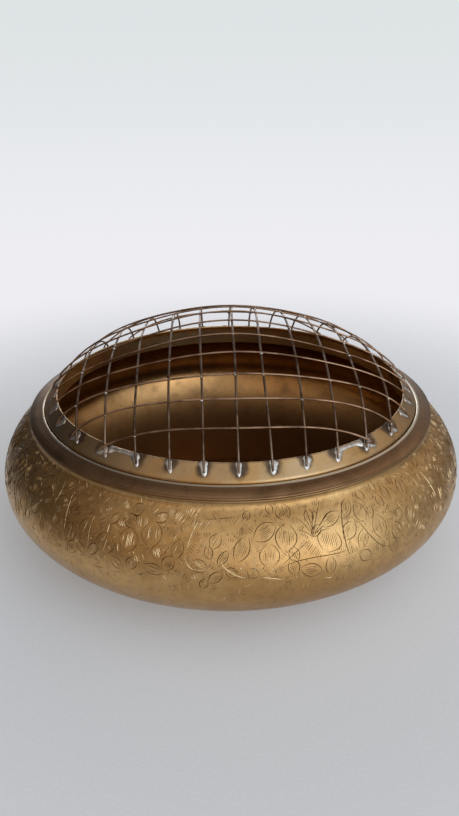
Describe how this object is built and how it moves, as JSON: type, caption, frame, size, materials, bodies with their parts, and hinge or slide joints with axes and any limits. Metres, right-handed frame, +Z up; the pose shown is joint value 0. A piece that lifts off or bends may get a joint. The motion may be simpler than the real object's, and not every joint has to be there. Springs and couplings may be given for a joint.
{
  "type": "flower frog bowl",
  "caption": "Low round brass flower bowl with an engraved body, a dark rim collar and a lift-off domed wire-grid lid that holds stems upright.",
  "frame": {"origin": "centre of the base, on the surface the bowl stands on", "axes": "+Z up through the middle of the wire dome; +Y to the back; front-to-back wires run along Y, cross wires along X"},
  "size_m": [0.214, 0.214, 0.0998],
  "materials": {
    "bowl_brass": "aged satin brass, engraved all over with leaves and stems, darker patina in the cuts and in spots",
    "collar_brass": "dark brown patinated brass, polished to bright metal along the lip",
    "ring_brass": "plain satin brass with heat stains and bright solder round the wire feet",
    "wire_brass": "tarnished brown brass wire with small solder dots at the crossings"
  },
  "bodies": {
    "bowl": {"bowl_body": "bowl_brass", "rim_collar": "collar_brass"},
    "lid": {"lid_ring": "ring_brass", "wire_front_back_01": "wire_brass", "wire_front_back_02": "wire_brass", "wire_front_back_03": "wire_brass", "wire_front_back_04": "wire_brass", "wire_front_back_05": "wire_brass", "wire_front_back_06": "wire_brass", "wire_front_back_07": "wire_brass", "wire_front_back_08": "wire_brass", "wire_front_back_09": "wire_brass", "wire_front_back_10": "wire_brass", "wire_front_back_11": "wire_brass", "wire_cross_01": "wire_brass", "wire_cross_02": "wire_brass", "wire_cross_03": "wire_brass", "wire_cross_04": "wire_brass", "wire_cross_05": "wire_brass", "wire_cross_06": "wire_brass", "wire_cross_07": "wire_brass", "wire_cross_08": "wire_brass", "wire_cross_09": "wire_brass", "wire_cross_10": "wire_brass", "wire_cross_11": "wire_brass"}
  },
  "joints": [
    {"name": "lid_lift", "type": "slide", "parent": "bowl", "child": "lid", "axis": [0, 0, 1], "range_m": [0, 0.08]}
  ]
}
